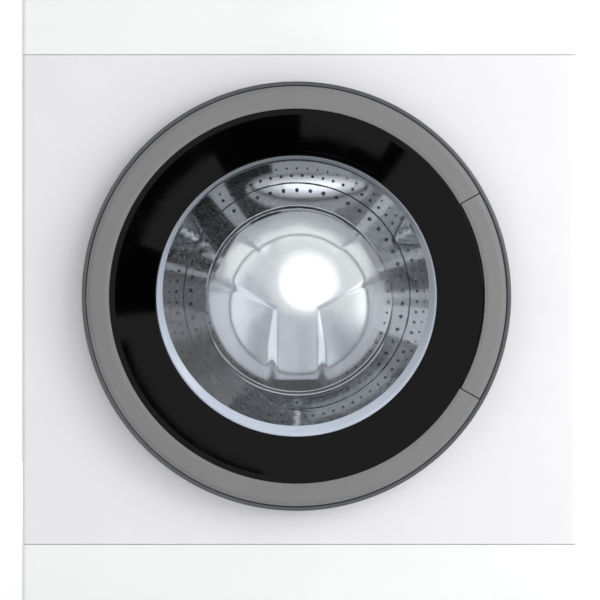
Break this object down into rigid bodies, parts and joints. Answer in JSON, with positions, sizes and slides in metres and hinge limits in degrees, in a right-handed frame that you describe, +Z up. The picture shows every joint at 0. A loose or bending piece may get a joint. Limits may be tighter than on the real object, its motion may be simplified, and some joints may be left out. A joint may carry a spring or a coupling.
{
  "type": "front load washing machine",
  "caption": "Front-loading washing machine: boxed cabinet, porthole door with a glass bowl and side handle, hung tub with a spinning drum, drawer, dial and levelling feet.",
  "frame": {"origin": "middle of the overall footprint, on the floor", "axes": "+Z up; the door faces -Y; +X is to the right of someone looking at the door"},
  "size_m": [0.598, 0.6026, 0.848],
  "materials": {
    "white_paint": "gloss white enamel on sheet steel",
    "white_plastic": "smooth white moulded plastic",
    "grey_trim": "satin mid-grey",
    "dark_rim": "dark chrome-like rim",
    "black_gloss": "piano black",
    "clear_glass": "clear pressed glass",
    "drum_steel": "stainless steel, turned finish",
    "zinc_steel": "zinc-plated steel",
    "grey_rubber": "grey moulded rubber",
    "black_rubber": "black rubber",
    "tub_plastic": "filled grey-white polypropylene",
    "cast_aluminium": "raw casting",
    "concrete": "cast concrete",
    "dark_plastic": "dark moulded plastic",
    "blue_plastic": "blue moulded plastic",
    "circuit": "circuit board in its tray"
  },
  "bodies": {
    "cabinet": {"front_panel": "white_paint", "side_panel_left": "white_paint", "side_panel_right": "white_paint", "rear_panel": "zinc_steel", "rear_service_cover": "zinc_steel", "worktop": "white_plastic", "base_tray": "dark_plastic", "plinth_panel": "white_plastic", "drain_pump": "dark_plastic", "door_hinge": "zinc_steel", "door_lock": "dark_plastic", "control_fascia": "white_plastic", "display_window": "black_gloss", "control_board": "circuit", "dispenser_housing": "tub_plastic", "inlet_valve": "white_plastic", "dispenser_hose": "black_rubber", "sump_hose": "black_rubber", "suspension_spring_left": "zinc_steel", "suspension_spring_right": "zinc_steel", "damper_rod_left": "zinc_steel", "damper_rod_right": "zinc_steel"},
    "tub": {"tub_front": "tub_plastic", "tub_rear": "tub_plastic", "counterweight": "concrete", "door_boot": "grey_rubber", "heater_element": "zinc_steel", "bearing_cartridge": "zinc_steel", "motor": "cast_aluminium", "drive_belt": "black_rubber", "damper_cylinder_left": "dark_plastic", "damper_cylinder_right": "dark_plastic"},
    "motor_rotor": {"motor_pulley": "cast_aluminium"},
    "drum": {"drum_shell": "drum_steel", "drum_back": "drum_steel", "lifter_1": "drum_steel", "lifter_2": "drum_steel", "lifter_3": "drum_steel", "drum_spider": "cast_aluminium", "drum_shaft": "zinc_steel", "drum_pulley": "cast_aluminium"},
    "door": {"door_outer_frame": "dark_rim", "door_trim_ring": "grey_trim", "door_cover_ring": "black_gloss", "door_glass": "clear_glass", "door_inner_frame": "dark_plastic", "hinge_pin": "zinc_steel"},
    "handle": {"door_handle": "grey_trim"},
    "latch": {"latch_hook": "zinc_steel"},
    "drawer": {"detergent_drawer": "white_plastic"},
    "knob": {"program_knob": "grey_trim"},
    "power_key": {"power_button": "grey_trim"},
    "option_key": {"option_button": "grey_trim"},
    "start_key": {"start_button": "grey_trim"},
    "flap": {"filter_flap": "white_plastic"},
    "filter_cap": {"pump_filter_cap": "blue_plastic"},
    "front_left_foot": {"foot_front_left": "black_rubber"},
    "front_right_foot": {"foot_front_right": "black_rubber"},
    "rear_left_foot": {"foot_rear_left": "black_rubber"},
    "rear_right_foot": {"foot_rear_right": "black_rubber"}
  },
  "joints": [
    {"name": "tub_hang", "type": "slide", "parent": "cabinet", "child": "tub", "axis": [0, 0, 1], "range_m": [-0.006, 0.006], "stiffness_N_per_m": 20000, "springref_m": 0.0173, "deforming": ["suspension_spring_left", "suspension_spring_right", "sump_hose", "dispenser_hose"]},
    {"name": "drum_spin", "type": "hinge", "parent": "tub", "child": "drum", "pos_m": [-0.003, 0.18725, 0.4264], "axis": [0, 1, 0], "continuous": true},
    {"name": "motor_spin", "type": "hinge", "parent": "tub", "child": "motor_rotor", "pos_m": [-0.11514, 0.24225, 0.10797], "axis": [0, 1, 0], "continuous": true},
    {"name": "door_swing", "type": "hinge", "parent": "cabinet", "child": "door", "pos_m": [-0.2178, -0.28275, 0.4264], "axis": [0, 0, -1], "range_deg": [0, 115]},
    {"name": "handle_pull", "type": "hinge", "parent": "door", "child": "handle", "pos_m": [0.169, -0.29225, 0.4264], "axis": [0, 0, -1], "range_deg": [0, 8], "stiffness_Nm_per_rad": 3, "springref_deg": -5.73},
    {"name": "latch_turn", "type": "hinge", "parent": "door", "child": "latch", "pos_m": [0.1895, -0.27975, 0.4264], "axis": [0, 0, 1], "range_deg": [0, 12]},
    {"name": "drawer_slide", "type": "slide", "parent": "cabinet", "child": "drawer", "axis": [0, -1, 0], "range_m": [0, 0.23]},
    {"name": "knob_turn", "type": "hinge", "parent": "cabinet", "child": "knob", "pos_m": [-0.02, -0.26275, 0.788], "axis": [0, 1, 0], "continuous": true},
    {"name": "power_press", "type": "slide", "parent": "cabinet", "child": "power_key", "axis": [0, 1, 0], "range_m": [0, 0.0015], "stiffness_N_per_m": 900, "springref_m": -0.001},
    {"name": "option_press", "type": "slide", "parent": "cabinet", "child": "option_key", "axis": [0, 1, 0], "range_m": [0, 0.0015], "stiffness_N_per_m": 900, "springref_m": -0.001},
    {"name": "start_press", "type": "slide", "parent": "cabinet", "child": "start_key", "axis": [0, 1, 0], "range_m": [0, 0.0015], "stiffness_N_per_m": 900, "springref_m": -0.001},
    {"name": "flap_fold", "type": "hinge", "parent": "cabinet", "child": "flap", "pos_m": [0.11, -0.2615, 0.02525], "axis": [1, 0, 0], "range_deg": [0, 90]},
    {"name": "filter_unscrew", "type": "hinge", "parent": "cabinet", "child": "filter_cap", "pos_m": [0.11, -0.24275, 0.062], "axis": [0, 1, 0], "range_deg": [0, 180]},
    {"name": "front_left_level", "type": "hinge", "parent": "cabinet", "child": "front_left_foot", "pos_m": [-0.254, -0.19775, 0], "axis": [0, 0, 1], "continuous": true},
    {"name": "front_right_level", "type": "hinge", "parent": "cabinet", "child": "front_right_foot", "pos_m": [0.254, -0.19775, 0], "axis": [0, 0, 1], "continuous": true},
    {"name": "rear_left_level", "type": "hinge", "parent": "cabinet", "child": "rear_left_foot", "pos_m": [-0.254, 0.24225, 0], "axis": [0, 0, 1], "continuous": true},
    {"name": "rear_right_level", "type": "hinge", "parent": "cabinet", "child": "rear_right_foot", "pos_m": [0.254, 0.24225, 0], "axis": [0, 0, 1], "continuous": true}
  ],
  "couplings": [
    {"joint": "motor_spin", "follows": "drum_spin", "ratio": 12.5},
    {"joint": "latch_turn", "follows": "handle_pull", "ratio": 1.5}
  ]
}
